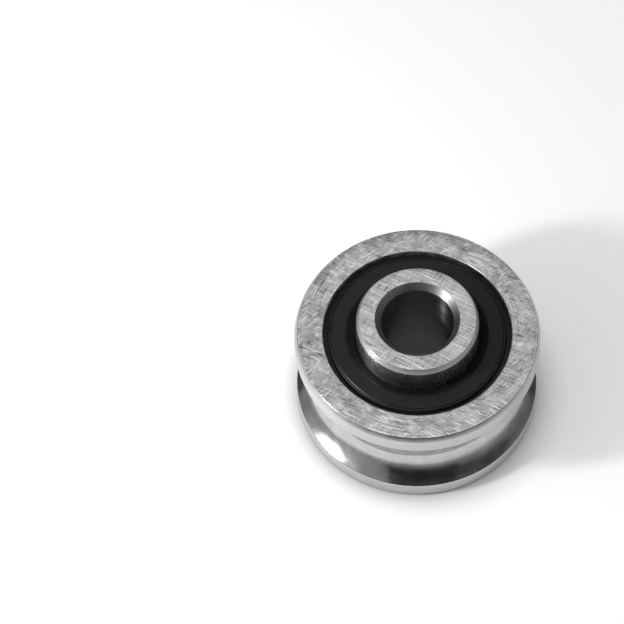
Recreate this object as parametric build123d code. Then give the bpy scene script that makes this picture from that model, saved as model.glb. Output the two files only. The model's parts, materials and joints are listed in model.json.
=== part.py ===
from build123d import *
import os

# Sealed U-groove track wheel. It is a double-row ball bearing whose outer ring is ground as a
# pulley that runs along a round rail. All sizes are millimetres. +Z is the spin axis and points
# the way the inner ring stands proud. The origin is the centre of the lower end, where the two
# rings are flush. Radii and heights below are worked out from the driving dimensions.

# Interfaces: the shaft through the middle, and the rail in the groove
bore_diameter = 5.0
outer_diameter = 17.0
outer_ring_width = 8.2
inner_ring_projection = 1.8
rail_diameter = 6.0
groove_depth = 1.45
groove_flat_width = 1.66

# Edges of the two rings
bore_chamfer = 0.43
inner_ring_chamfer_width = 0.2
inner_ring_chamfer_height = 0.38
outer_ring_chamfer_width = 0.2
outer_ring_chamfer_height = 0.34
groove_edge_radius = 0.08
seal_rim_chamfer = 0.05

# Ball rows. Their pitch circle lies midway between the bore and the floor of the rail groove,
# moved outwards by this offset, so both rings' walls follow the bore and the outer diameter.
balls_per_row = 10
ball_diameter = 1.984
pitch_offset = 0.155
row_gap = 0.72
race_depth = 0.32
race_conformity = 0.52
race_clearance = 0.03

# Snap-in cages: a back ring behind the balls, and horns that close over them
cage_ring_clearance = 0.25
cage_back_thickness = 0.32
pocket_clearance = 0.05
horn_reach = 0.5
horn_slot_width = 0.5
horn_slot_root = 0.45

# Seals: rubber moulded on a steel washer, snapped into a groove behind the outer ring's rim
seal_seat_step = 0.87
seal_recess = 0.14
seal_thickness = 0.62
seal_channel_width = 0.37
seal_channel_depth = 0.34
seal_channel_draft = 0.06
seal_edge_radius = 0.08
bead_reach = 0.22
seal_fit_clearance = 0.02
lip_slope_width = 0.7
lip_root_width = 0.2
lip_drop = 0.4
lip_tip_drop = 0.52
lip_thickness = 0.14
lip_root_thickness = 0.28
lip_clearance = 0.03
core_thickness = 0.2
core_cover = 0.12
core_rim_inset = 0.2

# Radii
bore_radius = bore_diameter / 2
outer_radius = outer_diameter / 2
groove_radius = rail_diameter / 2
groove_floor_radius = outer_radius - groove_depth
ball_radius = ball_diameter / 2
ball_space = ball_radius + race_clearance
race_radius = race_conformity * ball_diameter
pitch_radius = (bore_radius + groove_floor_radius) / 2 + pitch_offset
inner_ring_radius = pitch_radius - ball_space + race_depth
outer_shoulder_radius = pitch_radius + ball_space - race_depth
seal_rim_radius = outer_shoulder_radius + seal_seat_step

# Heights above the middle plane of the groove, which both ball rows straddle
half_width = outer_ring_width / 2
inner_ring_top = half_width + inner_ring_projection
row_height = (ball_diameter + row_gap) / 2
seal_flat_height = half_width - seal_recess
seal_back_height = seal_flat_height - seal_thickness
bead_top_height = seal_flat_height - seal_channel_depth
seat_height = seal_back_height - seal_fit_clearance

# Two corners this close count as one place
same_place = 1e-6


def turned(section):
    """Spin a section, drawn with its radius along X and its height along Y, about the axis."""
    return revolve(Plane.XZ * section, Axis.Z)


def block(r_low, r_high, h_low, h_high):
    """A rectangle of the section between two radii and two heights."""
    centre = Pos((r_low + r_high) / 2, (h_low + h_high) / 2)
    return centre * Rectangle(r_high - r_low, h_high - h_low)


def corners_at_radius(section, radius):
    """The section's corners at one radius, from the lowest to the highest."""
    corners = [v for v in section.vertices() if abs(v.X - radius) < same_place]
    return ShapeList(corners).sort_by(Axis.Y)


def end_chamfers(section, radius, width, height):
    """Bevel both end corners at one radius, by width across the end and height along the axis."""
    for end in (0, -1):
        corner = corners_at_radius(section, radius)[end]
        face = section.edges().sort_by(Axis.Y)[end]
        section = chamfer(corner, width, height, reference=face)
    return section


def raceways(centre_radius):
    """The two ball tracks, as circles of the section a little larger than the balls."""
    return [Pos(centre_radius, side * row_height) * Circle(race_radius) for side in (-1, 1)]


def rail_groove():
    """The groove: an arc that fits the rail, with a narrow flat along its floor to clear it."""
    arc_reach = (groove_radius**2 - (groove_flat_width / 2) ** 2) ** 0.5
    arc = Pos(groove_floor_radius + arc_reach, 0) * Circle(groove_radius)
    beyond_floor = outer_radius + groove_radius
    return arc & block(groove_floor_radius, beyond_floor, -half_width, half_width)


def seal_seats():
    """Both counterbores for the seals, each with the undercut that the seal's bead snaps into."""
    undercut_radius = seal_rim_radius + bead_reach + seal_fit_clearance
    undercut_height = bead_top_height + seal_fit_clearance
    mouth = block(outer_shoulder_radius, seal_rim_radius, seat_height, half_width)
    undercut = block(outer_shoulder_radius, undercut_radius, seat_height, undercut_height)
    seat = mouth + undercut
    return [seat, mirror(seat, Plane.XZ)]


def outer_ring():
    """The rolling ring: lands and rail groove outside, two raceways and two seal seats inside."""
    section = block(outer_shoulder_radius, outer_radius, -half_width, half_width)
    section -= rail_groove()
    section -= raceways(pitch_radius + ball_space - race_radius)
    section -= seal_seats()
    land = corners_at_radius(section, outer_radius)
    section = fillet([land[1], land[2]], groove_edge_radius)
    section = end_chamfers(
        section, outer_radius, outer_ring_chamfer_width, outer_ring_chamfer_height)
    mouth = corners_at_radius(section, seal_rim_radius)
    section = chamfer([mouth[0], mouth[-1]], seal_rim_chamfer)
    return turned(section)


def inner_ring():
    """The fixed ring on the shaft: two raceways, and a collar that stands proud of the top."""
    section = block(bore_radius, inner_ring_radius, -half_width, inner_ring_top)
    section -= raceways(pitch_radius - ball_space + race_radius)
    section = end_chamfers(
        section, inner_ring_radius, inner_ring_chamfer_width, inner_ring_chamfer_height)
    section = chamfer(corners_at_radius(section, bore_radius), bore_chamfer)
    return turned(section)


def core_section():
    """The seal's stiffening washer, flush with the seal's back."""
    inner = inner_ring_radius + lip_slope_width + core_cover
    outer = seal_rim_radius - core_rim_inset
    return block(inner, outer, seal_back_height, seal_back_height + core_thickness)


def seal_core():
    """The upper seal's steel washer."""
    return turned(core_section())


def seal():
    """The upper seal's rubber: a recessed flat, the channel at its rim, the bead and the lip."""
    flat_inner = inner_ring_radius + lip_slope_width
    flat_outer = seal_rim_radius - seal_channel_width
    bead_radius = seal_rim_radius + bead_reach
    lip_radius = inner_ring_radius + lip_clearance
    lip_root = inner_ring_radius + lip_root_width
    outline = Polyline(
        (lip_radius, seal_flat_height - lip_tip_drop),
        (lip_root, seal_flat_height - lip_drop),
        (flat_inner, seal_flat_height),
        (flat_outer, seal_flat_height),
        (flat_outer + seal_channel_draft, bead_top_height),
        (bead_radius, bead_top_height),
        (bead_radius, seal_back_height),
        (flat_inner, seal_back_height),
        (lip_root, seal_flat_height - lip_drop - lip_root_thickness),
        (lip_radius, seal_flat_height - lip_tip_drop - lip_thickness),
        close=True,
    )
    section = Sketch() + make_face(outline)
    flat_edges = corners_at_radius(section, flat_inner)[-1:] + corners_at_radius(section, flat_outer)
    section = fillet(flat_edges, seal_edge_radius)
    return turned(section - core_section())


def cage():
    """The upper row's cage: spherical pockets open towards the middle, between pairs of horns."""
    inner = inner_ring_radius + cage_ring_clearance
    outer = outer_shoulder_radius - cage_ring_clearance
    pocket_radius = ball_radius + pocket_clearance
    back = row_height + pocket_radius + cage_back_thickness
    tips = row_height - horn_reach
    root = row_height + horn_slot_root
    pockets = PolarLocations(pitch_radius, balls_per_row)
    webs = PolarLocations(pitch_radius, balls_per_row, start_angle=180 / balls_per_row)
    half_slot = horn_slot_width / 2
    slot_section = block(-half_slot, half_slot, tips, root) + Pos(0, root) * Circle(half_slot)
    slot = extrude(Plane.YZ * slot_section, outer - inner, both=True)
    ring = turned(block(inner, outer, tips, back))
    ring -= [place * Pos(0, 0, row_height) * Sphere(pocket_radius) for place in pockets]
    ring -= [place * slot for place in webs]
    return ring


def balls():
    """The upper row's balls, one in each pocket."""
    places = PolarLocations(pitch_radius, balls_per_row)
    return [place * Pos(0, 0, row_height) * Sphere(ball_radius) for place in places]


def upper(solid):
    """Lift a solid from the middle plane to its place in the standing wheel."""
    return Pos(0, 0, half_width) * solid


def lower(solid, turn=0.0):
    """Mirror an upper piece to the other row, turned about the axis."""
    return upper(Rot(0, 0, turn) * mirror(solid, Plane.XY))


def wheel():
    """Every piece of the wheel by name. The lower row is half a ball spacing behind the upper."""
    stagger = 180 / balls_per_row
    pieces = {
        "outer_ring": upper(outer_ring()),
        "inner_ring": upper(inner_ring()),
        "seal_upper": upper(seal()),
        "seal_lower": lower(seal()),
        "seal_core_upper": upper(seal_core()),
        "seal_core_lower": lower(seal_core()),
        "cage_upper": upper(cage()),
        "cage_lower": lower(cage(), stagger),
    }
    for number, ball in enumerate(balls(), start=1):
        pieces[f"ball_upper_{number:02d}"] = upper(ball)
        pieces[f"ball_lower_{number:02d}"] = lower(ball, stagger)
    return pieces


os.makedirs("parts", exist_ok=True)
for name, solid in wheel().items():
    export_step(solid, f"parts/{name}.step")
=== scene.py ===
import json
import math

import bmesh
import bpy
from bpy.props import FloatProperty, FloatVectorProperty, IntProperty, PointerProperty
from mathutils import Matrix, Vector


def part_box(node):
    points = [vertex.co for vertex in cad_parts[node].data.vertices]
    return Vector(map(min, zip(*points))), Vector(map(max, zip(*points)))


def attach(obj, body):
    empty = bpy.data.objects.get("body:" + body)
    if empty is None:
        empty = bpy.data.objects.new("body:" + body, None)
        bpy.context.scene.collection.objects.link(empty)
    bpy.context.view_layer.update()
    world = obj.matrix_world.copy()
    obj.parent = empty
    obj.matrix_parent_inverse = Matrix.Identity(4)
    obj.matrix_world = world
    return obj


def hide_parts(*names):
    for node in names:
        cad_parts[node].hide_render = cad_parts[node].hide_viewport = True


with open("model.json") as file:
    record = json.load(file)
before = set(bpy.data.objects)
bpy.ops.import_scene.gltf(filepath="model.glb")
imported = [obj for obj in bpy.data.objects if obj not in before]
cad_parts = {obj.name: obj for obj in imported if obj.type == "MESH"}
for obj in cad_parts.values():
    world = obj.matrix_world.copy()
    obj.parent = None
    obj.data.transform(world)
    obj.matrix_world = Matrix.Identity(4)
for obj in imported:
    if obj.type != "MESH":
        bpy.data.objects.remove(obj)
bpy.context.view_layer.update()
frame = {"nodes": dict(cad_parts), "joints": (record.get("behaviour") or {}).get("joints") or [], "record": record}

bl_info = {
    "name": "Rail wheel finish",
    "version": (1, 0, 0),
    "blender": (4, 5, 0),
    "location": "3D View > Sidebar > Rail Wheel",
    "description": "Builds the rings, seals, balls and cages of a rail wheel and their finishes",
    "category": "Object",
}

# The wheel stands on its flush end: +Z is the spin axis, and radii are taken from it
ring_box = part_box("outer_ring")
shaft_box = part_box("inner_ring")
seal_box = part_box("seal_upper")
core_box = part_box("seal_core_upper")
bore_mount = next(m for m in frame["record"]["mounts"] if m["name"] == "bore")
MM = 0.001
AXIS = (0, 0, 1)
SIDES = {"upper": 1, "lower": -1}

# How near a face's middle must be to a plane or wall to belong to it
SKIN = 0.005 * MM
# Corners of the cages' meshes that lie this close are one
WELD = 0.001 * MM
# Edges that bend by less than this are shaded smooth
CREASE = math.radians(38)
# Faces across a rounded edge, and along each hanging cloth
EASE_STEPS = 3
CLOTH_STEPS = 24
# The camera's sensor in millimetres, and the depths in metres that it sees between
SENSOR = 36
NEAR, FAR = 0.01, 20


class RingSizes(bpy.types.PropertyGroup):
    """Sizes of the outer ring, the one that rolls along the rail."""
    radius: FloatProperty(
        name="Outside radius", description="Radius of the two lands", unit="LENGTH",
        default=ring_box[1].x)
    width: FloatProperty(
        name="Width", description="Height of the standing ring", unit="LENGTH",
        default=ring_box[1].z)
    groove_radius: FloatProperty(
        name="Groove radius", description="Radius of the arc that the rail lies in",
        unit="LENGTH", default=3 * MM)
    groove_depth: FloatProperty(
        name="Groove depth", description="How far the groove goes below the lands",
        unit="LENGTH", default=1.45 * MM)
    groove_flat: FloatProperty(
        name="Groove flat", description="Width of the flat along the groove's floor",
        unit="LENGTH", default=1.66 * MM)
    groove_lip: FloatProperty(
        name="Groove lip", description="Rounding where the groove meets a land",
        unit="LENGTH", default=0.08 * MM)
    chamfer_width: FloatProperty(
        name="Chamfer width", description="Outer bevel, measured across the end face",
        unit="LENGTH", default=0.2 * MM)
    chamfer_height: FloatProperty(
        name="Chamfer height", description="Outer bevel, measured along the axis",
        unit="LENGTH", default=0.34 * MM)
    face_edge: FloatProperty(
        name="Face edge", description="Rounding where the end face meets the outer bevel",
        unit="LENGTH", default=0.03 * MM)
    # The dark line on the end face is painted shade, standing for the ring's edge rolling off
    painted_rim_shade: FloatProperty(
        name="Rim line", description="From the outer bevel to the dark line on the end face",
        unit="LENGTH", default=0.2 * MM)
    mouth_chamfer: FloatProperty(
        name="Mouth chamfer", description="Bevel at the mouth that takes the seal",
        unit="LENGTH", default=0.07 * MM)
    shoulder_radius: FloatProperty(
        name="Shoulder radius", description="Inside radius beside the ball tracks",
        unit="LENGTH", default=5.632 * MM)
    mouth_radius: FloatProperty(
        name="Mouth radius", description="Radius of the mouth that takes the seal",
        unit="LENGTH", default=6.502 * MM)
    seat_depth: FloatProperty(
        name="Seat depth", description="From the end face to the ledge under the seal",
        unit="LENGTH", default=0.78 * MM)
    undercut_radius: FloatProperty(
        name="Undercut radius", description="Radius of the slot that holds the seal's bead",
        unit="LENGTH", default=6.742 * MM)
    undercut_height: FloatProperty(
        name="Undercut height", description="Height of the slot that holds the seal's bead",
        unit="LENGTH", default=0.32 * MM)


class ShaftRingSizes(bpy.types.PropertyGroup):
    """Sizes of the inner ring, the one that stays on the shaft."""
    radius: FloatProperty(
        name="Outside radius", description="Radius of the collar and the ball shoulders",
        unit="LENGTH", default=shaft_box[1].x)
    height: FloatProperty(
        name="Height", description="Length along the shaft", unit="LENGTH",
        default=shaft_box[1].z)
    bore_radius: FloatProperty(
        name="Bore radius", description="Radius of the hole for the shaft", unit="LENGTH",
        default=bore_mount["dims"]["r_mm"] * MM)
    bore_chamfer: FloatProperty(
        name="Bore chamfer", description="Bevel at each mouth of the bore", unit="LENGTH",
        default=0.43 * MM)
    chamfer_width: FloatProperty(
        name="Chamfer width", description="Outer bevel, measured across the end face",
        unit="LENGTH", default=0.2 * MM)
    chamfer_height: FloatProperty(
        name="Chamfer height", description="Outer bevel, measured along the axis",
        unit="LENGTH", default=0.38 * MM)


class TrackSizes(bpy.types.PropertyGroup):
    """Sizes of the two ball rows and the tracks that they run in."""
    pitch_radius: FloatProperty(
        name="Pitch radius", description="Radius of the circle through the balls' centres",
        unit="LENGTH", default=4.93 * MM)
    row_height: FloatProperty(
        name="Row height", description="From the middle of the groove to a row of balls",
        unit="LENGTH", default=1.352 * MM)
    ball_radius: FloatProperty(
        name="Ball radius", description="Radius of one ball", unit="LENGTH",
        default=0.992 * MM)
    play: FloatProperty(
        name="Play", description="Gap between a ball and each track", unit="LENGTH",
        default=0.03 * MM)
    track_radius: FloatProperty(
        name="Track radius", description="Radius of a ball track's section",
        unit="LENGTH", default=1.03168 * MM)


class SealSizes(bpy.types.PropertyGroup):
    """Sizes of the rubber seals and the steel washers moulded into them."""
    bead_radius: FloatProperty(
        name="Bead radius", description="Outside radius of the snap-in bead",
        unit="LENGTH", default=seal_box[1].x)
    back: FloatProperty(
        name="Back height", description="Height of the upper seal's underside",
        unit="LENGTH", default=core_box[0].z)
    face: FloatProperty(
        name="Face height", description="Height of the upper seal's flat face",
        unit="LENGTH", default=seal_box[1].z)
    flat_outer: FloatProperty(
        name="Flat outer radius", description="Where the flat face drops into its channel",
        unit="LENGTH", default=6.132 * MM)
    flat_inner: FloatProperty(
        name="Flat inner radius", description="Where the flat face slopes to the lip",
        unit="LENGTH", default=4.928 * MM)
    channel_depth: FloatProperty(
        name="Channel depth", description="Depth of the channel beside the ring's mouth",
        unit="LENGTH", default=0.34 * MM)
    channel_draft: FloatProperty(
        name="Channel draft", description="Slant of the channel's inner wall",
        unit="LENGTH", default=0.06 * MM)
    lip_root: FloatProperty(
        name="Lip root radius", description="Where the slope turns into the lip",
        unit="LENGTH", default=4.428 * MM)
    lip_tip: FloatProperty(
        name="Lip tip radius", description="Radius of the lip beside the inner ring",
        unit="LENGTH", default=4.258 * MM)
    lip_drop: FloatProperty(
        name="Lip drop", description="From the flat face down to the lip's root",
        unit="LENGTH", default=0.4 * MM)
    lip_tip_drop: FloatProperty(
        name="Lip tip drop", description="From the flat face down to the lip's tip",
        unit="LENGTH", default=0.52 * MM)
    lip_thickness: FloatProperty(
        name="Lip thickness", description="Thickness of the lip at its tip",
        unit="LENGTH", default=0.14 * MM)
    lip_root_thickness: FloatProperty(
        name="Lip root thickness", description="Thickness of the lip at its root",
        unit="LENGTH", default=0.28 * MM)
    edge: FloatProperty(
        name="Edge radius", description="Rounding of the flat face's two edges",
        unit="LENGTH", default=0.08 * MM)
    line_inset: FloatProperty(
        name="Line inset", description="From the flat face's edge to the fine moulded line",
        unit="LENGTH", default=0.16 * MM)
    line_width: FloatProperty(
        name="Line width", description="Width of the fine moulded line", unit="LENGTH",
        default=0.09 * MM)
    line_depth: FloatProperty(
        name="Line depth", description="Depth of the fine moulded line", unit="LENGTH",
        default=0.036 * MM)
    core_inner: FloatProperty(
        name="Washer hole radius", description="Radius of the washer's hole",
        unit="LENGTH", default=5.048 * MM)
    core_outer: FloatProperty(
        name="Washer radius", description="Outside radius of the washer", unit="LENGTH",
        default=core_box[1].x)
    core_top: FloatProperty(
        name="Washer top height", description="Height of the upper washer's top face",
        unit="LENGTH", default=core_box[1].z)


class MeshSizes(bpy.types.PropertyGroup):
    """How finely the turned pieces are divided, and how their edges are broken."""
    turn_steps: IntProperty(
        name="Steps in a turn", description="Faces in one turn about the axis", default=192)
    arc_steps: IntProperty(
        name="Steps in an arc", description="Faces along half of the groove's arc", default=18)
    track_steps: IntProperty(
        name="Steps in a track", description="Faces along a ball track's arc", default=12)
    edge_break: FloatProperty(
        name="Edge break", description="Rounding of a deburred edge", unit="LENGTH",
        default=0.02 * MM)
    ball_detail: IntProperty(
        name="Ball detail", description="Times that a ball's mesh is divided", default=4)


class FinishColours(bpy.types.PropertyGroup):
    """Colours of the wheel's metals, rubber and plastic."""
    steel: FloatVectorProperty(
        name="Ground steel", description="Colour of the two rings", subtype="COLOR",
        size=3, min=0, max=1, default=(0.55, 0.55, 0.55))
    ball: FloatVectorProperty(
        name="Ball steel", description="Colour of the lapped balls", subtype="COLOR",
        size=3, min=0, max=1, default=(0.66, 0.66, 0.67))
    washer: FloatVectorProperty(
        name="Washer steel", description="Colour of the pressed washers", subtype="COLOR",
        size=3, min=0, max=1, default=(0.5, 0.5, 0.5))
    rubber: FloatVectorProperty(
        name="Seal rubber", description="Colour of the moulded seals", subtype="COLOR",
        size=3, min=0, max=1, default=(0.006, 0.006, 0.0062))
    nylon: FloatVectorProperty(
        name="Cage nylon", description="Colour of the moulded cages", subtype="COLOR",
        size=3, min=0, max=1, default=(0.72, 0.68, 0.57))


class StageSizes(bpy.types.PropertyGroup):
    """Where the camera and the lamp stand, with the room's light and the pale floor."""
    camera_place: FloatVectorProperty(
        name="Camera place", description="Where the camera stands", subtype="XYZ",
        unit="LENGTH", size=3, default=(-0.00719, -0.10072, 0.18215))
    camera_down: FloatProperty(
        name="Camera tilt", description="Angle that the camera looks down by",
        subtype="ANGLE", default=math.radians(59.44))
    camera_roll: FloatProperty(
        name="Camera roll", description="Turn of the camera about its own line of sight",
        subtype="ANGLE", default=math.radians(2.69))
    lens: FloatProperty(
        name="Lens", description="Focal length in millimetres on a 36 mm sensor",
        default=168.1)
    lamp_turn: FloatProperty(
        name="Lamp azimuth", description="Direction of the soft box, measured from +X",
        subtype="ANGLE", default=math.radians(196))
    lamp_lift: FloatProperty(
        name="Lamp elevation", description="Height of the soft box above the floor",
        subtype="ANGLE", default=math.radians(31))
    lamp_distance: FloatProperty(
        name="Lamp distance", description="From the wheel to the soft box",
        unit="LENGTH", default=0.085)
    lamp_width: FloatProperty(
        name="Lamp width", description="Width of the soft box", unit="LENGTH",
        default=0.010)
    lamp_height: FloatProperty(
        name="Lamp height", description="Height of the soft box", unit="LENGTH",
        default=0.018)
    lamp_power: FloatProperty(
        name="Lamp power", description="Power of the soft box in watts", default=0.055)
    room_light: FloatProperty(
        name="Room light", description="Strength of the even light from all round",
        default=0.78)
    floor_size: FloatProperty(
        name="Floor size", description="Length of the floor's side", unit="LENGTH",
        default=6.0)
    floor_colour: FloatProperty(
        name="Floor colour", description="Grey value of the pale floor", default=0.9)
    floor_lift: FloatProperty(
        name="Floor lift", description="Brightness added for the camera and in reflections",
        default=0.36)
    # The floor's colour and its added brightness are both darkened near the wheel: a painted contact shadow
    painted_shadow_reach: FloatProperty(
        name="Floor reach", description="How far from the wheel the floor starts to darken",
        unit="LENGTH", default=0.0025)


def settings():
    """The property groups, each under its own name, on the current scene."""
    scene = bpy.context.scene
    return (scene.wheel_ring, scene.wheel_shaft, scene.wheel_track, scene.wheel_seal,
            scene.wheel_mesh, scene.wheel_colour, scene.wheel_stage)


class Outline:
    """A closed section of a turned piece, drawn corner by corner as radius and height."""

    def __init__(self):
        self.mesh = bmesh.new()
        self.path = []
        self.eased = {}

    def corner(self, radius, height, ease=0.0):
        """Add a corner, rounded by ease once the outline is closed."""
        vert = self.mesh.verts.new((radius, 0, height))
        if self.path:
            self.mesh.edges.new((self.path[-1], vert))
        self.add(vert, ease)

    def add(self, vert, ease):
        """Take a vertex into the outline, and keep it in mind if it is to be rounded."""
        self.path.append(vert)
        if ease:
            self.eased.setdefault(ease, []).append(vert)

    def arc(self, radius, height, angle, steps, ease=0.0):
        """Carry on from the last corner in an arc about a centre, and round its far end."""
        swept = bmesh.ops.spin(
            self.mesh, geom=[self.path[-1]], cent=(radius, 0, height), axis=(0, 1, 0),
            angle=angle, steps=steps, use_merge=False)
        self.add(swept["geom_last"][0], ease)

    def turn(self, steps):
        """Close and ease the outline, spin it about the wheel's axis and give the mesh back."""
        mesh = self.mesh
        mesh.edges.new((self.path[-1], self.path[0]))
        for ease, corners in self.eased.items():
            bmesh.ops.bevel(
                mesh, geom=corners, offset=ease, offset_type="OFFSET", segments=EASE_STEPS,
                profile=0.5, affect="VERTICES", material=-1)
        bmesh.ops.spin(
            mesh, geom=mesh.verts[:] + mesh.edges[:], cent=(0, 0, 0), axis=AXIS,
            angle=2 * math.pi, steps=steps, use_merge=True)
        bmesh.ops.recalc_face_normals(mesh, faces=mesh.faces)
        return mesh


def radius_and_height(face):
    """Where a face of a turned piece lies in its section."""
    middle = face.calc_center_median()
    return math.hypot(middle.x, middle.y), middle.z


def finished_piece(name, mesh, materials, body, slot, *nodes, zone=None):
    """Turn a bmesh into a smooth piece that rides on a body and stands for its CAD nodes."""
    for face in mesh.faces:
        face.smooth = True
        if zone:
            face.material_index = zone(*radius_and_height(face))
    for edge in mesh.edges:
        edge.smooth = edge.calc_face_angle(0.0) < CREASE
    data = bpy.data.meshes.new(name)
    mesh.to_mesh(data)
    mesh.free()
    for material in materials:
        data.materials.append(material)
    piece = bpy.data.objects.new(name, data)
    bpy.context.scene.collection.objects.link(piece)
    weighted = piece.modifiers.new("Weighted Normal", "WEIGHTED_NORMAL")
    weighted.keep_sharp = True
    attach(piece, body)
    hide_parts(*nodes)
    return piece


class Finish:
    """A material being put together: its nodes end in one Principled shader."""

    def __init__(self, name, **shader):
        self.material = bpy.data.materials.new(name)
        self.material.use_nodes = True
        self.tree = self.material.node_tree
        self.shader = self.tree.nodes["Principled BSDF"]
        self.fill(self.shader, shader)
        self.place = self.node("ShaderNodeTexCoord").outputs["Object"]

    def fill(self, node, inputs):
        """Set or link a node's sockets, by name with _ for a space, or by number after a _."""
        for key, value in inputs.items():
            which = int(key[1:]) if key[1:].isdigit() else key.replace("_", " ")
            socket = node.inputs[which]
            if isinstance(value, bpy.types.NodeSocket):
                self.tree.links.new(value, socket)
            else:
                socket.default_value = value

    def node(self, kind, look=None, **inputs):
        """Add a node with its settings and its inputs."""
        node = self.tree.nodes.new(kind)
        for key, value in (look or {}).items():
            setattr(node, key, value)
        self.fill(node, inputs)
        return node

    def calc(self, kind, a, b=0.0):
        """One step of arithmetic on one or two numbers."""
        return self.node("ShaderNodeMath", {"operation": kind}, _0=a, _1=b).outputs[0]

    def spread(self, value, low, high, to_low=0.0, to_high=1.0):
        """Map a number from one range onto another, held at both ends."""
        return self.node(
            "ShaderNodeMapRange", {"clamp": True}, Value=value, From_Min=low, From_Max=high,
            To_Min=to_low, To_Max=to_high).outputs[0]

    def speckle(self, place, grain, detail, rough, seed):
        """Cloudy noise whose lumps are about one grain across, in metres."""
        return self.node(
            "ShaderNodeTexNoise", {"noise_dimensions": "4D"}, Vector=place, W=seed,
            Scale=1 / grain, Detail=detail, Roughness=rough).outputs[0]

    def streaks(self, turn, length, width, seed):
        """Noise drawn out into straight lines across the end faces, at an angle from +X."""
        laid = self.node(
            "ShaderNodeMapping", {"vector_type": "TEXTURE"}, Vector=self.place,
            Rotation=(0, 0, math.radians(turn)), Scale=(length, width, length))
        return self.speckle(laid.outputs[0], grain=1.0, detail=1.0, rough=0.5, seed=seed)

    def flattened(self):
        """The place with its height left out."""
        return self.node("ShaderNodeVectorMath", {"operation": "MULTIPLY"}, _0=self.place,
                         _1=(1, 1, 0)).outputs[0]

    def reach(self):
        """How far a place is from the wheel's axis."""
        return self.node("ShaderNodeVectorMath", {"operation": "LENGTH"},
                         _0=self.flattened()).outputs["Value"]

    def rings(self, width, length, seed):
        """Noise drawn out into lines round the axis, as a turning or grinding tool leaves."""
        split = self.node("ShaderNodeSeparateXYZ", Vector=self.place)
        across = self.calc("ADD", self.reach(), split.outputs[2])
        wide = self.node("ShaderNodeVectorMath", {"operation": "SCALE"}, _0=self.flattened(),
                         Scale=1 / length)
        parts = self.node("ShaderNodeSeparateXYZ", Vector=wide.outputs[0])
        fine = self.calc("MULTIPLY", across, 1 / width)
        joined = self.node(
            "ShaderNodeCombineXYZ", X=parts.outputs[0], Y=parts.outputs[1], Z=fine)
        return self.speckle(joined.outputs[0], grain=1.0, detail=2.0, rough=0.6, seed=seed)

    def tint(self, colour, shade):
        """A colour made lighter or darker by a grey value."""
        grey = self.node("ShaderNodeCombineColor", Red=shade, Green=shade, Blue=shade)
        look = {"data_type": "RGBA", "blend_type": "MULTIPLY"}
        return self.node("ShaderNodeMix", look, _0=1.0, _6=(*colour, 1),
                         _7=grey.outputs[0]).outputs[2]

    def bump(self, height, depth, **base):
        """A bumped normal from a height between 0 and 1, with its real depth in metres."""
        return self.node("ShaderNodeBump", Height=height, Distance=depth, **base).outputs[0]

    def drive(self, **inputs):
        """Link what was made to the shader."""
        self.fill(self.shader, inputs)
        return self.material


def across_the_lines(finish):
    """The direction along the axis, in which the fine tool lines smear a highlight."""
    look = {"vector_type": "VECTOR", "convert_from": "OBJECT", "convert_to": "WORLD"}
    return finish.node("ShaderNodeVectorTransform", look, Vector=AXIS).outputs[0]


def scratched(f, shade, streaks, low, high, amount, patch=None):
    """Add a set of scratches to a shade: those above a level show, all over or in patches."""
    lines = f.spread(streaks, low, high, 0.0, amount)
    if patch:
        lines = f.calc("MULTIPLY", lines, patch)
    return f.calc("ADD", shade, lines)


def ground_face(colour, painted_rim_shade):
    """Outer ring's end faces: ground and mottled, with scratches and a dark line of painted shade near the rim,
    where the edge rolls off.
    """
    f = Finish("ground_end_face", Metallic=1.0)
    cloud = f.speckle(f.place, grain=0.0010, detail=3.0, rough=0.60, seed=1.0)
    patch = f.speckle(f.place, grain=0.0019, detail=2.0, rough=0.5, seed=6.0)
    grit = f.speckle(f.place, grain=0.00022, detail=3.0, rough=0.7, seed=2.0)
    fine = f.streaks(turn=-31, length=0.0008, width=0.00012, seed=3.0)
    cross = f.streaks(turn=40, length=0.0007, width=0.00011, seed=4.0)
    dark = f.streaks(turn=-25, length=0.0010, width=0.00012, seed=7.0)
    arcs = f.rings(width=0.00010, length=0.0020, seed=5.0)
    turned = f.speckle(f.place, grain=0.0040, detail=1.0, rough=0.5, seed=8.0)
    # A dark ring of painted shade just inside the outer bevel, in patches, for the edge rolling off
    off_line = f.calc("ABSOLUTE", f.calc("SUBTRACT", f.reach(), painted_rim_shade))
    shade = f.spread(cloud, 0.34, 0.66, 0.70, 1.38)
    shade = scratched(f, shade, off_line, 0.07 * MM, 0.02 * MM, -0.3, f.spread(patch, 0.35, 0.55))
    shade = scratched(f, shade, fine, 0.54, 0.72, 1.5, f.spread(patch, 0.45, 0.62))
    shade = scratched(f, shade, cross, 0.56, 0.74, 1.3, f.spread(patch, 0.55, 0.38))
    shade = scratched(f, shade, dark, 0.54, 0.72, -0.55)
    shade = scratched(f, shade, arcs, 0.52, 0.66, 0.5, f.spread(turned, 0.50, 0.60))
    shade = scratched(f, shade, arcs, 0.48, 0.34, -0.4, f.spread(turned, 0.50, 0.60))
    shade = f.calc("ADD", shade, f.spread(grit, 0.25, 0.75, -0.18, 0.18))
    height = f.calc("ADD", fine, f.calc("ADD", cross, f.calc("ADD", arcs, grit)))
    return f.drive(
        Base_Color=f.tint(colour, shade), Roughness=f.spread(cloud, 0.3, 0.7, 0.34, 0.46),
        Normal=f.bump(height, 0.000004))


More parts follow.
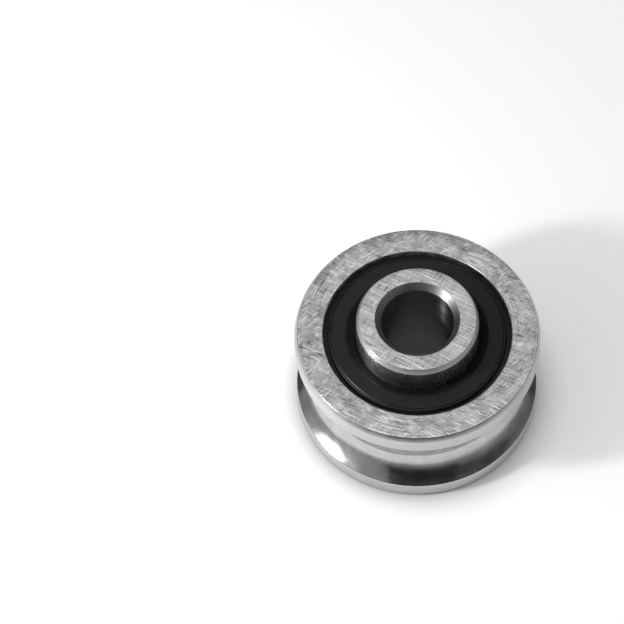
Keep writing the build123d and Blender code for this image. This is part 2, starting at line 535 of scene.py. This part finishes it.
def cross_ground_face(colour):
    """Inner ring's end faces: ground last, with long parallel lines crossed by others."""
    f = Finish("cross_ground_face", Metallic=1.0)
    cloud = f.speckle(f.place, grain=0.0007, detail=3.0, rough=0.65, seed=11.0)
    patch = f.speckle(f.place, grain=0.0020, detail=2.0, rough=0.5, seed=16.0)
    grit = f.speckle(f.place, grain=0.00018, detail=3.0, rough=0.7, seed=14.0)
    fine = f.streaks(turn=-31, length=0.0016, width=0.00010, seed=12.0)
    other = f.streaks(turn=58, length=0.0010, width=0.00010, seed=15.0)
    dark = f.streaks(turn=50, length=0.0010, width=0.00010, seed=13.0)
    shade = f.spread(cloud, 0.32, 0.68, 0.90, 1.40)
    shade = scratched(f, shade, fine, 0.55, 0.74, 1.1, f.spread(patch, 0.38, 0.55, 0.4, 1.0))
    shade = scratched(f, shade, fine, 0.45, 0.30, -0.4)
    shade = scratched(f, shade, other, 0.57, 0.76, 0.9, f.spread(patch, 0.60, 0.42))
    shade = scratched(f, shade, dark, 0.54, 0.72, -0.9, f.spread(patch, 0.42, 0.58))
    shade = f.calc("ADD", shade, f.spread(grit, 0.25, 0.75, -0.2, 0.2))
    height = f.calc("ADD", grit, f.calc("SUBTRACT", fine, dark))
    return f.drive(
        Base_Color=f.tint(colour, shade), Roughness=f.spread(cloud, 0.3, 0.7, 0.30, 0.42),
        Normal=f.bump(height, 0.000004))


def turned_steel(name, colour, shade, rough, along, line, depth, seed, wave=0.0, blotch=0.04):
    """Steel with fine lines round the axis: lands, chamfers, collar, bore and mouth."""
    f = Finish(name, Metallic=1.0, Anisotropic=along)
    lines = f.rings(width=line, length=0.0030, seed=seed)
    worn = f.speckle(f.place, grain=0.0008, detail=3.0, rough=0.6, seed=seed + 0.5)
    light = f.calc("ADD", f.spread(lines, 0.3, 0.7, shade - 0.08, shade + 0.08),
                   f.spread(worn, 0.3, 0.7, -blotch, blotch))
    swell = f.speckle(f.place, grain=0.0022, detail=1.0, rough=0.4, seed=seed + 0.7)
    normal = f.bump(lines, depth, Normal=f.bump(swell, wave))
    return f.drive(
        Base_Color=f.tint(colour, light),
        Roughness=f.spread(worn, 0.3, 0.7, rough - 0.04, rough + 0.04),
        Normal=normal, Tangent=across_the_lines(f))


def rubber(colour, line_radius, line_width):
    """The seals: black moulded rubber, mottled and dusty, glossier along the moulded line."""
    f = Finish("seal_rubber", Metallic=0.0, Specular_IOR_Level=0.36)
    grain = f.speckle(f.place, grain=0.00012, detail=3.0, rough=0.65, seed=31.0)
    cloud = f.speckle(f.place, grain=0.0009, detail=3.0, rough=0.65, seed=32.0)
    dust = f.speckle(f.place, grain=0.00010, detail=1.0, rough=0.5, seed=33.0)
    hairs = f.streaks(turn=20, length=0.0004, width=0.00006, seed=34.0)
    shade = f.calc("ADD", f.spread(cloud, 0.3, 0.7, 0.5, 1.7),
                   f.spread(dust, 0.66, 0.78, 0.0, 6.0))
    shade = f.calc("ADD", shade, f.spread(hairs, 0.70, 0.80, 0.0, 5.0))
    off_line = f.calc("ABSOLUTE", f.calc("SUBTRACT", f.reach(), line_radius))
    gloss = f.spread(off_line, line_width / 2, line_width, 0.12, 0.0)
    return f.drive(
        Base_Color=f.tint(colour, shade),
        Roughness=f.calc("SUBTRACT", f.spread(cloud, 0.3, 0.7, 0.42, 0.58), gloss),
        Normal=f.bump(grain, 0.00001))


def nylon(colour):
    """The cages: satin moulded nylon."""
    f = Finish("cage_nylon", Metallic=0.0, Subsurface_Weight=0.15, Subsurface_Scale=0.0004)
    grain = f.speckle(f.place, grain=0.00008, detail=2.0, rough=0.6, seed=41.0)
    cloud = f.speckle(f.place, grain=0.0015, detail=2.0, rough=0.5, seed=42.0)
    return f.drive(
        Base_Color=f.tint(colour, f.spread(cloud, 0.3, 0.7, 0.94, 1.04)),
        Roughness=f.spread(grain, 0.2, 0.8, 0.36, 0.5), Normal=f.bump(grain, 0.000002))


def lapped_steel(colour):
    """The balls: lapped bright, with a trace of lapping marks."""
    f = Finish("lapped_ball_steel", Metallic=1.0)
    marks = f.speckle(f.place, grain=0.00010, detail=2.0, rough=0.6, seed=51.0)
    cloud = f.speckle(f.place, grain=0.0006, detail=2.0, rough=0.5, seed=52.0)
    return f.drive(
        Base_Color=f.tint(colour, f.spread(cloud, 0.3, 0.7, 0.97, 1.03)),
        Roughness=f.spread(marks, 0.3, 0.7, 0.05, 0.10))


def pressed_steel(colour):
    """The seals' washers: cold rolled sheet, dull."""
    f = Finish("pressed_washer_steel", Metallic=1.0)
    rolled = f.streaks(turn=0, length=0.0020, width=0.00006, seed=61.0)
    return f.drive(
        Base_Color=f.tint(colour, f.spread(rolled, 0.3, 0.7, 0.9, 1.1)),
        Roughness=f.spread(rolled, 0.3, 0.7, 0.36, 0.5), Normal=f.bump(rolled, 0.000002))


class WHEEL_OT_rolling_ring(bpy.types.Operator):
    """Build the outer ring with its lands, rail groove, seal seats and ball tracks"""
    bl_idname = "wheel.rolling_ring"
    bl_label = "Rolling ring"

    def execute(self, context):
        ring, _, track, _, mesh, colour, _ = settings()
        middle = ring.width / 2
        floor = ring.radius - ring.groove_depth
        half_flat = math.asin(ring.groove_flat / 2 / ring.groove_radius)
        centre = floor + ring.groove_radius * math.cos(half_flat)
        half_arc = math.acos((centre - ring.radius) / ring.groove_radius)
        half_mouth = ring.groove_radius * math.sin(half_arc)
        rim = ring.mouth_radius
        seat, slot_top = ring.seat_depth, ring.seat_depth - ring.undercut_height
        track_centre = track.pitch_radius + track.ball_radius + track.play - track.track_radius
        half_track = math.acos((ring.shoulder_radius - track_centre) / track.track_radius)
        rise = track.track_radius * math.sin(half_track)

        line = Outline()
        lip = ring.groove_lip * math.tan(half_arc / 2)
        line.corner(ring.radius, middle - half_mouth, lip)
        line.arc(centre, middle, half_arc - half_flat, mesh.arc_steps)
        for side in (-1, 1):
            line.corner(floor, middle + side * (ring.groove_flat / 2 - mesh.edge_break))
        line.corner(floor, middle + ring.groove_flat / 2)
        line.arc(centre, middle, half_arc - half_flat, mesh.arc_steps, lip)
        line.corner(ring.radius, ring.width - ring.chamfer_height, mesh.edge_break)
        line.corner(ring.radius - ring.chamfer_width, ring.width, ring.face_edge)
        line.corner(rim + ring.mouth_chamfer, ring.width, mesh.edge_break)
        line.corner(rim, ring.width - ring.mouth_chamfer, mesh.edge_break)
        line.corner(rim, ring.width - slot_top)
        line.corner(ring.undercut_radius, ring.width - slot_top)
        line.corner(ring.undercut_radius, ring.width - seat)
        line.corner(ring.shoulder_radius, ring.width - seat)
        for side in SIDES.values():
            row = middle + side * track.row_height
            line.corner(ring.shoulder_radius, row + rise)
            line.arc(track_centre, row, 2 * half_track, mesh.track_steps)
        line.corner(ring.shoulder_radius, seat)
        line.corner(ring.undercut_radius, seat)
        line.corner(ring.undercut_radius, slot_top)
        line.corner(rim, slot_top)
        line.corner(rim, ring.mouth_chamfer, mesh.edge_break)
        line.corner(rim + ring.mouth_chamfer, 0, mesh.edge_break)
        line.corner(ring.radius - ring.chamfer_width, 0, ring.face_edge)
        line.corner(ring.radius, ring.chamfer_height, mesh.edge_break)

        steel = tuple(colour.steel)
        materials = [
            ground_face(steel, ring.radius - ring.chamfer_width - ring.painted_rim_shade),
            turned_steel("turned_chamfer", steel, shade=0.85, rough=0.24, along=0.6,
                         line=0.00006, depth=0.000002, seed=71.0),
            turned_steel("ground_land", steel, shade=1.0, rough=0.33, along=0.8,
                         line=0.00005, depth=0.0000015, seed=72.0),
            turned_steel("polished_groove", steel, shade=0.86, rough=0.19, along=0.4,
                         line=0.00006, depth=0.000001, seed=73.0, wave=0.00005, blotch=0.1),
            turned_steel("turned_mouth", steel, shade=1.0, rough=0.40, along=0.3,
                         line=0.00006, depth=0.000003, seed=74.0, blotch=0.5),
            turned_steel("honed_track", steel, shade=1.1, rough=0.08, along=0.4,
                         line=0.00004, depth=0.0000005, seed=75.0),
        ]
        face_zone, chamfer_zone, land_zone, groove_zone, mouth_zone, track_zone = range(6)

        def zone(radius, height):
            drop = min(height, ring.width - height)
            if radius < ring.shoulder_radius + SKIN or radius < rim and drop > ring.seat_depth:
                return track_zone
            if drop < SKIN and radius > rim + ring.mouth_chamfer:
                return face_zone
            if radius < ring.undercut_radius + SKIN:
                return mouth_zone
            if drop < ring.chamfer_height:
                return chamfer_zone
            return land_zone if radius > ring.radius - SKIN else groove_zone

        finished_piece("rolling_ring", line.turn(mesh.turn_steps), materials, "wheel",
                       "ring_steel", "outer_ring", zone=zone)
        return {"FINISHED"}


class WHEEL_OT_shaft_ring(bpy.types.Operator):
    """Build the inner ring with its bore, collar and ball tracks"""
    bl_idname = "wheel.shaft_ring"
    bl_label = "Shaft ring"

    def execute(self, context):
        ring, shaft, track, _, mesh, colour, _ = settings()
        middle = ring.width / 2
        track_centre = track.pitch_radius - track.ball_radius - track.play + track.track_radius
        half_track = math.acos((track_centre - shaft.radius) / track.track_radius)
        rise = track.track_radius * math.sin(half_track)

        line = Outline()
        line.corner(shaft.bore_radius + shaft.bore_chamfer, 0, mesh.edge_break)
        line.corner(shaft.radius - shaft.chamfer_width, 0, mesh.edge_break)
        line.corner(shaft.radius, shaft.chamfer_height, mesh.edge_break)
        for side in (-1, 1):
            row = middle + side * track.row_height
            line.corner(shaft.radius, row - rise)
            line.arc(track_centre, row, 2 * half_track, mesh.track_steps)
        line.corner(shaft.radius, shaft.height - shaft.chamfer_height, mesh.edge_break)
        line.corner(shaft.radius - shaft.chamfer_width, shaft.height, mesh.edge_break)
        line.corner(shaft.bore_radius + shaft.bore_chamfer, shaft.height, mesh.edge_break)
        line.corner(shaft.bore_radius, shaft.height - shaft.bore_chamfer, mesh.edge_break)
        line.corner(shaft.bore_radius, shaft.bore_chamfer, mesh.edge_break)

        steel = tuple(colour.steel)
        materials = [
            cross_ground_face(steel),
            # The bore's chamfers are painted darker than the ring's other chamfers: painted shade at the mouth of
            # the bore
            turned_steel("bored_chamfer_painted_shade", steel, shade=0.52, rough=0.44, along=0.6,
                         line=0.00006, depth=0.000003, seed=81.0),
            turned_steel("turned_collar_edge", steel, shade=0.85, rough=0.34, along=0.6,
                         line=0.00006, depth=0.000003, seed=84.0),
            # The bore's steel is painted dark: painted shade inside the hole
            turned_steel("honed_bore_painted_shade", steel, shade=0.28, rough=0.30, along=1.0,
                         line=0.00005, depth=0.0000005, seed=82.0),
            turned_steel("ground_collar", steel, shade=0.8, rough=0.27, along=0.85,
                         line=0.00005, depth=0.0000005, seed=83.0, blotch=0.02),
        ]
        face_zone, chamfer_zone, edge_zone, bore_zone, collar_zone = range(5)

        def zone(radius, height):
            drop = min(height, shaft.height - height)
            if drop < SKIN:
                return face_zone
            if radius < shaft.bore_radius + SKIN:
                return bore_zone
            if drop < shaft.bore_chamfer and radius < shaft.bore_radius + shaft.bore_chamfer:
                return chamfer_zone
            return edge_zone if drop < shaft.chamfer_height else collar_zone

        finished_piece("shaft_ring", line.turn(mesh.turn_steps), materials, "inner",
                       "ring_steel", "inner_ring", zone=zone)
        return {"FINISHED"}


def standing(mesh, side, middle):
    """Leave an upper piece as it is, or mirror it about the middle plane for the lower side."""
    if side < 0:
        flip = Matrix.Translation((0, 0, 2 * middle)) @ Matrix.Scale(-1, 4, AXIS)
        bmesh.ops.transform(mesh, matrix=flip, verts=mesh.verts)
        bmesh.ops.reverse_faces(mesh, faces=mesh.faces)
    return mesh


class WHEEL_OT_seals(bpy.types.Operator):
    """Build the two rubber seals"""
    bl_idname = "wheel.seals"
    bl_label = "Seals"

    def execute(self, context):
        ring, _, _, seal, mesh, colour, _ = settings()
        moulded = seal.flat_outer - seal.line_inset
        material = rubber(tuple(colour.rubber), moulded, seal.line_width)
        floor = seal.face - seal.channel_depth
        for row, side in SIDES.items():
            line = Outline()
            line.corner(seal.lip_tip, seal.face - seal.lip_tip_drop, mesh.edge_break)
            line.corner(seal.lip_root, seal.face - seal.lip_drop, mesh.edge_break)
            line.corner(seal.flat_inner, seal.face, seal.edge)
            line.corner(moulded - seal.line_width / 2, seal.face)
            line.corner(moulded, seal.face - seal.line_depth)
            line.corner(moulded + seal.line_width / 2, seal.face)
            line.corner(seal.flat_outer, seal.face, seal.edge)
            line.corner(seal.flat_outer + seal.channel_draft, floor, mesh.edge_break)
            line.corner(seal.bead_radius, floor, mesh.edge_break)
            line.corner(seal.bead_radius, seal.back, mesh.edge_break)
            line.corner(seal.core_outer, seal.back)
            line.corner(seal.core_outer, seal.core_top)
            line.corner(seal.core_inner, seal.core_top)
            line.corner(seal.core_inner, seal.back)
            line.corner(seal.flat_inner, seal.back, mesh.edge_break)
            line.corner(seal.lip_root, seal.face - seal.lip_drop - seal.lip_root_thickness)
            line.corner(seal.lip_tip, seal.face - seal.lip_tip_drop - seal.lip_thickness,
                        mesh.edge_break)
            turned = standing(line.turn(mesh.turn_steps), side, ring.width / 2)
            finished_piece(f"rubber_seal_{row}", turned, [material], "wheel", "seal_rubber",
                           f"seal_{row}")
        return {"FINISHED"}


class WHEEL_OT_washers(bpy.types.Operator):
    """Build the steel washers that stiffen the seals"""
    bl_idname = "wheel.washers"
    bl_label = "Seal washers"

    def execute(self, context):
        ring, _, _, seal, mesh, colour, _ = settings()
        material = pressed_steel(tuple(colour.washer))
        for row, side in SIDES.items():
            line = Outline()
            line.corner(seal.core_inner, seal.back, mesh.edge_break)
            line.corner(seal.core_outer, seal.back, mesh.edge_break)
            line.corner(seal.core_outer, seal.core_top, mesh.edge_break)
            line.corner(seal.core_inner, seal.core_top, mesh.edge_break)
            turned = standing(line.turn(mesh.turn_steps), side, ring.width / 2)
            finished_piece(f"seal_washer_{row}", turned, [material], "wheel", "core_steel",
                           f"seal_core_{row}")
        return {"FINISHED"}


class WHEEL_OT_balls(bpy.types.Operator):
    """Build the balls, each about the axis that it spins on"""
    bl_idname = "wheel.balls"
    bl_label = "Balls"

    def execute(self, context):
        _, _, track, _, mesh, colour, _ = settings()
        material = lapped_steel(tuple(colour.ball))
        for joint in frame["joints"]:
            node = joint["name"].removesuffix("_spin")
            if not node.startswith("ball_"):
                continue
            ball = bmesh.new()
            bmesh.ops.create_icosphere(
                ball, subdivisions=mesh.ball_detail, radius=track.ball_radius,
                matrix=Matrix.Translation(joint["pos_m"]))
            finished_piece(f"steel_{node}", ball, [material], joint["child"], "ball_steel", node)
        return {"FINISHED"}


class WHEEL_OT_cages(bpy.types.Operator):
    """Dress the two snap-in cages that space the balls"""
    bl_idname = "wheel.cages"
    bl_label = "Cages"

    def execute(self, context):
        _, _, _, _, _, colour, _ = settings()
        material = nylon(tuple(colour.nylon))
        for row in SIDES:
            node = frame["nodes"][f"cage_{row}"]
            cage = bmesh.new()
            cage.from_mesh(node.data)
            bmesh.ops.remove_doubles(cage, verts=cage.verts, dist=WELD)
            finished_piece(f"snap_cage_{row}", cage, [material], f"cage_{row}_row",
                           "cage_nylon", f"cage_{row}")
        return {"FINISHED"}


def floor_material(colour, lift, reach):
    """Pale floor that keeps a shadow, with a painted contact shadow near the wheel, and looks white to the camera
    and in polished steel.
    """
    material = bpy.data.materials.new("pale_floor")
    material.use_nodes = True
    nodes, links = material.node_tree.nodes, material.node_tree.links
    nodes.clear()
    output = nodes.new("ShaderNodeOutputMaterial")
    diffuse = nodes.new("ShaderNodeBsdfDiffuse")
    glow = nodes.new("ShaderNodeEmission")
    glow.inputs["Color"].default_value = (1, 1, 1, 1)
    path = nodes.new("ShaderNodeLightPath")
    seen = path.outputs["Is Camera Ray"]
    for ray in ("Is Glossy Ray", "Is Transmission Ray"):
        either = nodes.new("ShaderNodeMath")
        either.operation = "MAXIMUM"
        links.new(seen, either.inputs[0])
        links.new(path.outputs[ray], either.inputs[1])
        seen = either.outputs[0]
    # Painted contact shadow: occlusion darkens the floor's colour and its added brightness near the wheel
    painted_contact_shadow = nodes.new("ShaderNodeAmbientOcclusion")
    painted_contact_shadow.inputs["Distance"].default_value = reach
    paint = nodes.new("ShaderNodeVectorMath")
    paint.operation = "SCALE"
    paint.inputs[0].default_value = (colour, colour, colour)
    links.new(painted_contact_shadow.outputs["AO"], paint.inputs["Scale"])
    links.new(paint.outputs[0], diffuse.inputs["Color"])
    amount = nodes.new("ShaderNodeMath")
    amount.operation = "MULTIPLY"
    amount.inputs[1].default_value = lift
    shown = nodes.new("ShaderNodeMath")
    shown.operation = "MULTIPLY"
    links.new(seen, shown.inputs[0])
    links.new(painted_contact_shadow.outputs["AO"], shown.inputs[1])
    links.new(shown.outputs[0], amount.inputs[0])
    links.new(amount.outputs[0], glow.inputs["Strength"])
    both = nodes.new("ShaderNodeAddShader")
    links.new(diffuse.outputs[0], both.inputs[0])
    links.new(glow.outputs[0], both.inputs[1])
    links.new(both.outputs[0], output.inputs["Surface"])
    return material


def graded_cloth(name, foot, head, fade):
    """Matt cloth for the stage: one grey at its foot that fades into another at a height, painted light and shade
    of the room for the steel to reflect.
    """
    f = Finish(name, Roughness=1.0, Specular_IOR_Level=0.0)
    height = f.node("ShaderNodeSeparateXYZ", Vector=f.place).outputs[2]
    return f.drive(Base_Color=f.tint((1, 1, 1), f.spread(height, 0.0, fade, foot, head)))


def staged(name, mesh, material, seen=True):
    """Put a bmesh on the stage, hidden from the camera if it isn't to be seen."""
    data = bpy.data.meshes.new(name)
    mesh.to_mesh(data)
    mesh.free()
    data.materials.append(material)
    thing = bpy.data.objects.new(name, data)
    bpy.context.scene.collection.objects.link(thing)
    thing.visible_camera = seen


# The soft box is brightest in the middle: each layer's size and its share of the power
SOFT_BOX = ((0.6, 0.45), (1.0, 0.39), (1.6, 0.06), (2.6, 0.10))

# The cloths that hang round the wheel down to the floor and shade its reflections. Each has its
# radius and height in metres, the azimuths in degrees that it hangs between, its grey at the foot,
# its grey at the head, and the height in metres by which the first has faded into the second
# Their greys are painted room light and shade: dark sheets where the room is in shade, pale ones where it is lit
CLOTHS = (
    ("left_curtain", 0.20, 0.40, 212, 243, 1.0, 0.85, 0.10),
    ("front_curtain", 0.20, 0.40, 243, 300, 1.0, 0.05, 0.06),
    ("right_curtain", 0.20, 0.30, 300, 345, 1.0, 0.16, 0.09),
    ("far_right_curtain", 0.20, 0.20, 345, 375, 0.6, 0.40, 0.09),
    ("back_curtain", 0.20, 0.20, 375, 515, 0.2, 0.18, 0.09),
    ("pale_curtain", 0.26, 0.20, 155, 215, 0.9, 0.80, 0.09),
)


def hanging_cloth(name, radius, height, start, end, *room_shade):
    """A curved cloth about the wheel between two azimuths in degrees."""
    mesh = bmesh.new()
    a = mesh.verts.new((radius, 0, 0))
    b = mesh.verts.new((radius, 0, height))
    edge = mesh.edges.new((a, b))
    bmesh.ops.rotate(mesh, verts=[a, b], cent=(0, 0, 0),
                     matrix=Matrix.Rotation(math.radians(start), 3, AXIS))
    bmesh.ops.spin(mesh, geom=[a, b, edge], cent=(0, 0, 0), axis=AXIS,
                   angle=math.radians(end - start), steps=CLOTH_STEPS, use_merge=False)
    staged(name, mesh, graded_cloth(name, *room_shade), seen=False)


class WHEEL_OT_stage(bpy.types.Operator):
    """Set the pale floor, the soft light, the cloths round the wheel and the camera"""
    bl_idname = "wheel.stage"
    bl_label = "Stage"

    def execute(self, context):
        stage = settings()[-1]
        scene = context.scene
        scene.view_settings.view_transform = "Standard"

        floor = bmesh.new()
        bmesh.ops.create_grid(floor, x_segments=1, y_segments=1, size=stage.floor_size / 2)
        pale = floor_material(stage.floor_colour, stage.floor_lift, stage.painted_shadow_reach)
        staged("floor", floor, pale)

        for name, *cut in CLOTHS:
            hanging_cloth(name, *cut)

        world = bpy.data.worlds.new("room")
        world.use_nodes = True
        back = world.node_tree.nodes["Background"]
        back.inputs["Color"].default_value = (1, 1, 1, 1)
        back.inputs["Strength"].default_value = stage.room_light
        scene.world = world

        turn, lift = stage.lamp_turn, stage.lamp_lift
        flat = math.cos(lift)
        out = Vector((math.cos(turn) * flat, math.sin(turn) * flat, math.sin(lift)))
        for size, share in SOFT_BOX:
            lamp = bpy.data.lights.new("soft_box", "AREA")
            lamp.shape = "RECTANGLE"
            lamp.size, lamp.size_y = size * stage.lamp_width, size * stage.lamp_height
            lamp.energy = share * stage.lamp_power
            holder = bpy.data.objects.new("soft_box", lamp)
            holder.location = out * stage.lamp_distance + Vector((0, 0, ring_box[1].z))
            holder.rotation_euler = out.to_track_quat("Z", "Y").to_euler()
            holder.visible_camera = False
            scene.collection.objects.link(holder)

        camera = bpy.data.cameras.new("camera")
        camera.lens, camera.sensor_width = stage.lens, SENSOR
        camera.clip_start, camera.clip_end = NEAR, FAR
        viewer = bpy.data.objects.new("camera", camera)
        tilt = Matrix.Rotation(math.radians(90) - stage.camera_down, 4, "X")
        roll = Matrix.Rotation(-stage.camera_roll, 4, "Z")
        viewer.matrix_world = Matrix.Translation(stage.camera_place) @ tilt @ roll
        scene.collection.objects.link(viewer)
        scene.camera = viewer
        return {"FINISHED"}


BUILDERS = (
    WHEEL_OT_stage,
    WHEEL_OT_rolling_ring,
    WHEEL_OT_shaft_ring,
    WHEEL_OT_seals,
    WHEEL_OT_washers,
    WHEEL_OT_balls,
    WHEEL_OT_cages,
)


class WHEEL_PT_builders(bpy.types.Panel):
    """Lists the steps that build the wheel"""
    bl_label = "Rail Wheel"
    bl_idname = "WHEEL_PT_builders"
    bl_space_type = "VIEW_3D"
    bl_region_type = "UI"
    bl_category = "Rail Wheel"

    def draw(self, context):
        for builder in BUILDERS:
            self.layout.operator(builder.bl_idname)


GROUPS = {
    "wheel_ring": RingSizes,
    "wheel_shaft": ShaftRingSizes,
    "wheel_track": TrackSizes,
    "wheel_seal": SealSizes,
    "wheel_mesh": MeshSizes,
    "wheel_colour": FinishColours,
    "wheel_stage": StageSizes,
}


def register():
    """Add the property groups, the operators and the panel."""
    for name, group in GROUPS.items():
        bpy.utils.register_class(group)
        setattr(bpy.types.Scene, name, PointerProperty(type=group))
    for cls in (*BUILDERS, WHEEL_PT_builders):
        bpy.utils.register_class(cls)


def unregister():
    """Take them out again."""
    for cls in (WHEEL_PT_builders, *reversed(BUILDERS)):
        bpy.utils.unregister_class(cls)
    for name, group in reversed(GROUPS.items()):
        delattr(bpy.types.Scene, name)
        bpy.utils.unregister_class(group)


def main():
    """Register the builders and run each one in order."""
    register()
    for builder in BUILDERS:
        family, step = builder.bl_idname.split(".")
        getattr(getattr(bpy.ops, family), step)()


if __name__ == "__main__":
    main()
